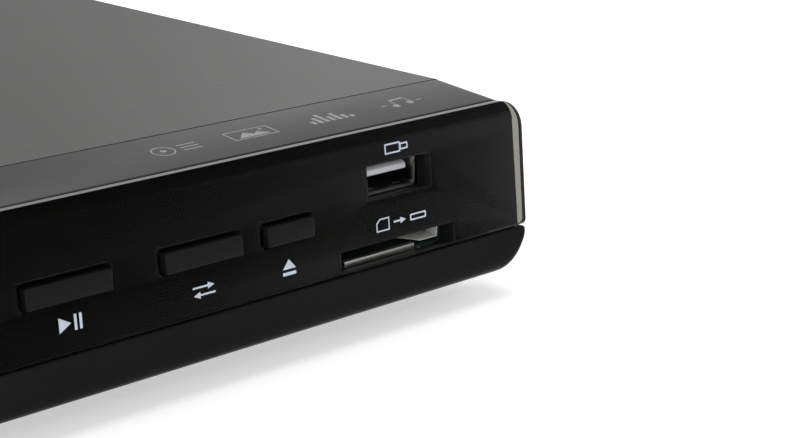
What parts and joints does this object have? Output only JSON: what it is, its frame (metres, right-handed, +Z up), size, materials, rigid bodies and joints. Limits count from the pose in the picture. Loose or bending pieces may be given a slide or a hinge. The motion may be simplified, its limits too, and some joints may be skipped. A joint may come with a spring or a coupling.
{
  "type": "disc player",
  "caption": "Slim disc player: steel case, smoked front panel with push buttons, sliding disc tray, USB port and card slot, with its loader, optics and boards inside.",
  "frame": {"origin": "on the surface that the player stands on, at the middle of its width and depth", "axes": "+X to the right seen from the front, +Y to the back, +Z up"},
  "size_m": [0.36, 0.24, 0.0417],
  "materials": {
    "cover_paint": "dark grey paint with a fine texture, satin",
    "rear_paint": "black paint, matt",
    "bare_steel": "zinc-plated sheet, dull",
    "screw_zinc": "black zinc",
    "port_steel": "bright sheet",
    "black_gloss": "moulded, polished",
    "smoked_acrylic": "smoked transparent, polished",
    "key_black": "moulded, fine satin",
    "black_plastic": "moulded, satin",
    "tray_plastic": "moulded, satin",
    "white_plastic": "natural, moulded",
    "tongue_plastic": "moulded, pale grey",
    "rubber": "soft black",
    "damper_rubber": "soft dark blue",
    "board_green": "glass-fibre board with solder resist",
    "board_tan": "paper-phenolic board",
    "chip_black": "epoxy",
    "capacitor_sleeve": "shrunk sleeve",
    "coil_yellow": "tape over ferrite",
    "ribbon_white": "flat film",
    "display_glass": "dark",
    "ir_plastic": "deep red, dark",
    "lens_glass": "coated",
    "sled_casting": "die-cast",
    "sink_aluminium": "extruded",
    "rod_chrome": "ground",
    "gold_brass": "gold-plated",
    "magnet": "sintered",
    "motor_dark": "black steel"
  },
  "bodies": {
    "case": {"chassis_base": "bare_steel", "rear_panel": "rear_paint", "top_cover": "cover_paint", "front_bezel": "black_gloss", "front_lens": "smoked_acrylic", "feet": "rubber", "cover_screws": "screw_zinc", "front_boards": "board_green", "tact_switches": "black_plastic", "display": "display_glass", "ir_receiver": "ir_plastic", "inner_screws": "screw_zinc", "usb_shell": "port_steel", "usb_tongue": "tongue_plastic", "card_socket": "port_steel", "loader_frame": "black_plastic", "loading_motor": "bare_steel", "drive_belt": "rubber", "clamp_bridge": "bare_steel", "main_board": "board_green", "board_chips": "chip_black", "board_connectors": "white_plastic", "power_board": "board_tan", "transformer": "coil_yellow", "power_capacitors": "capacitor_sleeve", "heat_sink": "sink_aluminium", "ribbon_cables": "ribbon_white", "jack_block": "black_plastic", "jack_sleeves": "gold_brass", "jack_insulators": "white_plastic", "ac_inlet": "black_plastic", "inlet_pins": "gold_brass"},
    "tray": {"tray": "tray_plastic", "tray_door": "black_gloss"},
    "drive_gear": {"drive_gear": "white_plastic"},
    "pulley_gear": {"pulley_gear": "white_plastic"},
    "motor_pulley": {"motor_pulley": "white_plastic"},
    "cam": {"cam_slider": "white_plastic"},
    "lift": {"lift_frame": "black_plastic", "dampers": "damper_rubber", "traverse_plate": "bare_steel", "spindle_motor": "motor_dark", "guide_rods": "rod_chrome", "sled_motor": "bare_steel"},
    "turntable": {"turntable": "black_plastic"},
    "puck": {"clamp_puck": "white_plastic", "puck_magnet": "magnet"},
    "sled": {"pickup_sled": "sled_casting"},
    "holder": {"lens_holder": "black_plastic", "objective_lens": "lens_glass"},
    "sled_gear": {"sled_gear": "white_plastic"},
    "sled_pinion": {"sled_pinion": "white_plastic"},
    "play_key": {"button_play": "key_black", "plunger_play": "white_plastic"},
    "sound_key": {"button_sound": "key_black", "plunger_sound": "white_plastic"},
    "eject_key": {"button_eject": "key_black", "plunger_eject": "white_plastic"},
    "standby_key": {"button_standby": "key_black", "plunger_standby": "white_plastic"}
  },
  "joints": [
    {"name": "tray_slide", "type": "slide", "parent": "case", "child": "tray", "axis": [0, -1, 0], "range_m": [0, 0.138]},
    {"name": "drive_gear_spin", "type": "hinge", "parent": "case", "child": "drive_gear", "pos_m": [-0.0265, -0.092, 0.018], "axis": [0, 0, 1], "range_deg": [-879, 0]},
    {"name": "pulley_gear_spin", "type": "hinge", "parent": "case", "child": "pulley_gear", "pos_m": [-0.0485, -0.092, 0.018], "axis": [0, 0, 1], "range_deg": [0, 2343]},
    {"name": "motor_pulley_spin", "type": "hinge", "parent": "case", "child": "motor_pulley", "pos_m": [-0.0815, -0.092, 0.018], "axis": [0, 0, 1], "range_deg": [0, 6899]},
    {"name": "lift_tilt", "type": "hinge", "parent": "case", "child": "lift", "pos_m": [-0.0675, 0.044, 0.014], "axis": [1, 0, 0], "range_deg": [0, 2.8]},
    {"name": "cam_slide", "type": "slide", "parent": "case", "child": "cam", "axis": [1, 0, 0], "range_m": [0, 0.01201]},
    {"name": "turntable_spin", "type": "hinge", "parent": "lift", "child": "turntable", "pos_m": [-0.0675, -0.042, 0.02], "axis": [0, 0, 1], "continuous": true},
    {"name": "puck_spin", "type": "hinge", "parent": "case", "child": "puck", "pos_m": [-0.0675, -0.042, 0.033], "axis": [0, 0, 1], "continuous": true},
    {"name": "sled_slide", "type": "slide", "parent": "lift", "child": "sled", "axis": [0, 1, 0], "range_m": [0, 0.034]},
    {"name": "sled_gear_spin", "type": "hinge", "parent": "lift", "child": "sled_gear", "pos_m": [-0.0305, 0.004, 0.02], "axis": [0, 0, 1], "range_deg": [-325, 0]},
    {"name": "sled_pinion_spin", "type": "hinge", "parent": "lift", "child": "sled_pinion", "pos_m": [-0.0305, -0.0128, 0.019], "axis": [0, 0, 1], "range_deg": [0, 812]},
    {"name": "lens_focus", "type": "slide", "parent": "sled", "child": "holder", "axis": [0, 0, 1], "range_m": [-0.0007, 0.0007], "stiffness_N_per_m": 60},
    {"name": "play_press", "type": "slide", "parent": "case", "child": "play_key", "axis": [0, 1, 0], "range_m": [0, 0.0006], "stiffness_N_per_m": 500},
    {"name": "sound_press", "type": "slide", "parent": "case", "child": "sound_key", "axis": [0, 1, 0], "range_m": [0, 0.0006], "stiffness_N_per_m": 500},
    {"name": "eject_press", "type": "slide", "parent": "case", "child": "eject_key", "axis": [0, 1, 0], "range_m": [0, 0.0006], "stiffness_N_per_m": 500},
    {"name": "standby_press", "type": "slide", "parent": "case", "child": "standby_key", "axis": [0, 1, 0], "range_m": [0, 0.0006], "stiffness_N_per_m": 500}
  ],
  "couplings": [
    {"joint": "drive_gear_spin", "follows": "tray_slide", "rad_per_m": -111.11},
    {"joint": "pulley_gear_spin", "follows": "tray_slide", "rad_per_m": 296.3},
    {"joint": "motor_pulley_spin", "follows": "tray_slide", "rad_per_m": 872.43},
    {"joint": "cam_slide", "follows": "lift_tilt", "m_per_rad": 0.24555},
    {"joint": "turntable_spin", "follows": "puck_spin", "ratio": 1},
    {"joint": "sled_gear_spin", "follows": "sled_slide", "rad_per_m": -166.67},
    {"joint": "sled_pinion_spin", "follows": "sled_slide", "rad_per_m": 416.67}
  ]
}
